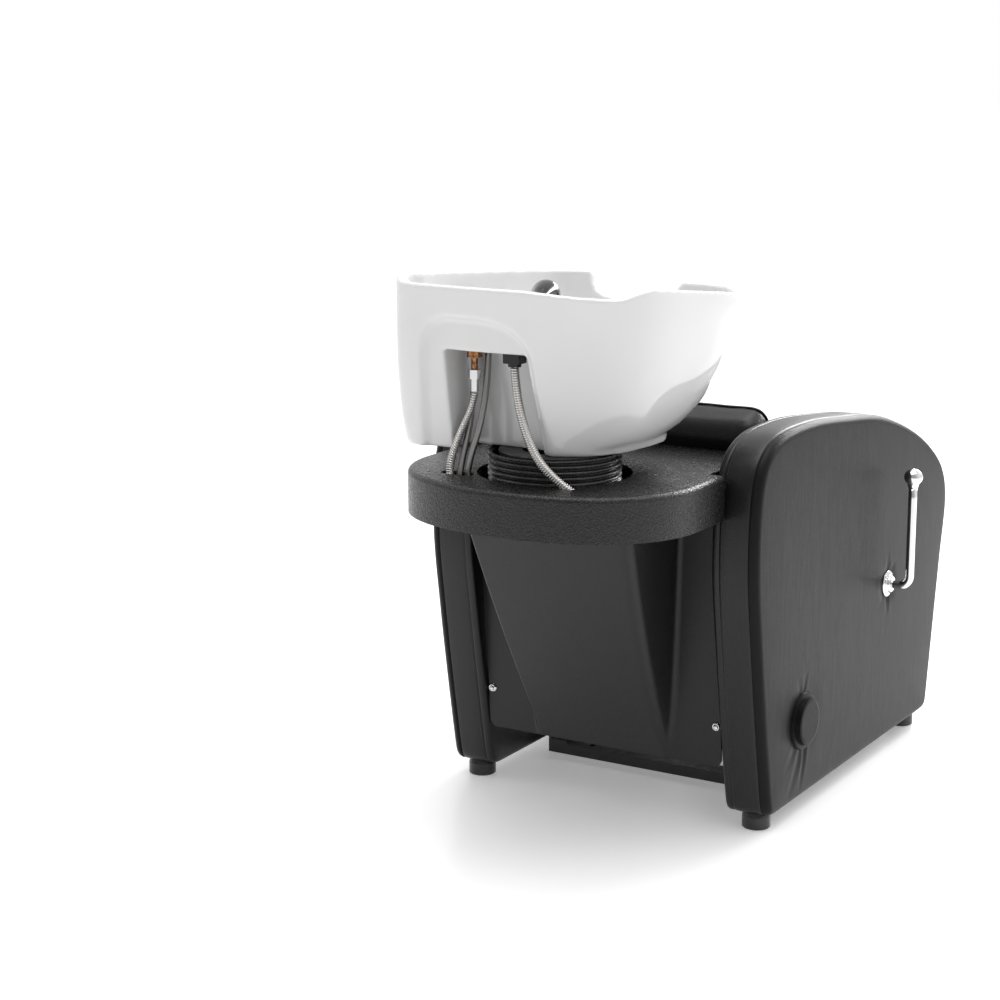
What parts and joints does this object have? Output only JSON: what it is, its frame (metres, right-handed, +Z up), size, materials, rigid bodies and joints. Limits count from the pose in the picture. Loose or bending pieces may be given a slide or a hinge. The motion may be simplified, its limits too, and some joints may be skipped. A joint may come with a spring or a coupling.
{
  "type": "shampoo backwash unit",
  "caption": "Salon backwash chair with a tilting ceramic basin, upholstered side panels, reclined seat and a leg rest raised by a side lever.",
  "frame": {"origin": "on the floor, at the middle of the floor crossbar's underside", "axes": "+Z up; +Y towards the client's feet (the basin and stylist are at -Y); +X to the seated client's right, the lever side"},
  "size_m": [0.7185, 1.2178, 0.9736],
  "materials": {
    "leatherette": "fine-grained black leatherette, satin",
    "leatherette_wrap": "fine-grained black leatherette border, satin",
    "cushion_cover": "black leatherette over foam",
    "plywood": "sanded birch plywood",
    "black_plastic": "textured black ABS",
    "pebbled_plastic": "coarsely pebbled black ABS",
    "black_rubber": "matte black rubber",
    "black_steel": "black powder coat",
    "chrome": "polished chrome",
    "zinc": "zinc-plated steel",
    "braid": "braided stainless steel",
    "brass": "raw brass",
    "ceramic": "white gloss glaze",
    "gloss_black": "polished black",
    "waste_plastic": "grey-white polypropylene"
  },
  "bodies": {
    "base": {"panel_wrap_right": "leatherette_wrap", "panel_core_right": "plywood", "outer_pad_right": "leatherette", "panel_wrap_left": "leatherette_wrap", "panel_core_left": "plywood", "outer_pad_left": "leatherette", "glide_feet": "black_plastic", "access_cap_right": "black_plastic", "access_cap_left": "black_plastic", "floor_crossbar": "black_steel", "crossbar_uprights": "black_steel", "panel_bolts": "zinc", "seat_frame": "black_steel", "seat_board": "plywood", "seat_cushion": "cushion_cover", "backrest_cushion": "cushion_cover", "backrest_board": "plywood", "leg_rest_bearings": "zinc", "lever_flange": "chrome", "lever_bushing": "zinc", "support_beam": "black_steel", "support_arms": "black_steel", "support_table": "black_steel", "rear_cover": "black_plastic", "cover_screws": "chrome", "cover_blocks": "plywood", "shelf": "pebbled_plastic", "tilt_yoke": "black_steel", "bellows": "black_rubber", "waste_hose": "waste_plastic", "waste_outlet_pipe": "waste_plastic", "water_inlets": "brass", "shower_hose": "braid", "outlet_hose": "braid", "hot_hose": "braid", "cold_hose": "braid", "hose_union": "brass"},
    "basin_body": {"basin": "ceramic", "basin_carrier": "black_steel", "tilt_pivots": "zinc", "waste_fitting": "chrome", "mixer_body": "chrome", "mixer_tail": "brass", "tail_nut": "chrome", "shower_holder": "gloss_black", "hose_guide": "black_plastic"},
    "strainer_body": {"hair_strainer": "chrome"},
    "mixer_swivel_body": {"mixer_swivel": "chrome"},
    "mixer_lever_body": {"mixer_lever": "chrome"},
    "hand_shower_body": {"shower_handle": "gloss_black", "shower_head": "gloss_black"},
    "lever_body": {"side_lever": "chrome", "lever_knob": "chrome", "lever_crank": "zinc"},
    "rod_body": {"connecting_rod": "zinc"},
    "leg_rest_body": {"leg_rest_shaft": "zinc", "leg_rest_brackets": "black_steel", "leg_rest_board": "plywood", "leg_rest_cushion": "cushion_cover", "leg_rest_drive_arm": "zinc"}
  },
  "joints": [
    {"name": "basin_tilt", "type": "hinge", "parent": "base", "child": "basin_body", "pos_m": [0, -0.415, 0.65], "axis": [1, 0, 0], "range_deg": [-5, 10], "deforming": ["bellows", "waste_hose", "shower_hose", "outlet_hose", "hot_hose", "cold_hose"]},
    {"name": "strainer_lift", "type": "slide", "parent": "basin_body", "child": "strainer_body", "axis": [0, 0, 1], "range_m": [0, 0.08]},
    {"name": "mixer_temperature", "type": "hinge", "parent": "basin_body", "child": "mixer_swivel_body", "pos_m": [-0.119, -0.475, 0.9], "axis": [0, 0, 1], "range_deg": [-30, 30]},
    {"name": "mixer_flow", "type": "hinge", "parent": "mixer_swivel_body", "child": "mixer_lever_body", "pos_m": [-0.119, -0.475, 0.92], "axis": [1, 0, 0], "range_deg": [0, 15]},
    {"name": "hand_shower_lift", "type": "slide", "parent": "basin_body", "child": "hand_shower_body", "axis": [-0.2912, 0.9309, 0.2206], "range_m": [0, 0.1]},
    {"name": "side_lever_swing", "type": "hinge", "parent": "base", "child": "lever_body", "pos_m": [0.3, 0.29, 0.338], "axis": [1, 0, 0], "range_deg": [0, 75]},
    {"name": "leg_rest_lift", "type": "hinge", "parent": "base", "child": "leg_rest_body", "pos_m": [0, 0.535, 0.345], "axis": [1, 0, 0], "range_deg": [0, 75]},
    {"name": "rod_pivot", "type": "hinge", "parent": "lever_body", "child": "rod_body", "pos_m": [0.216, 0.25559, 0.28885], "axis": [1, 0, 0], "range_deg": [-75, 0]}
  ],
  "couplings": [
    {"joint": "side_lever_swing", "follows": "leg_rest_lift", "ratio": 1},
    {"joint": "rod_pivot", "follows": "leg_rest_lift", "ratio": -1}
  ]
}
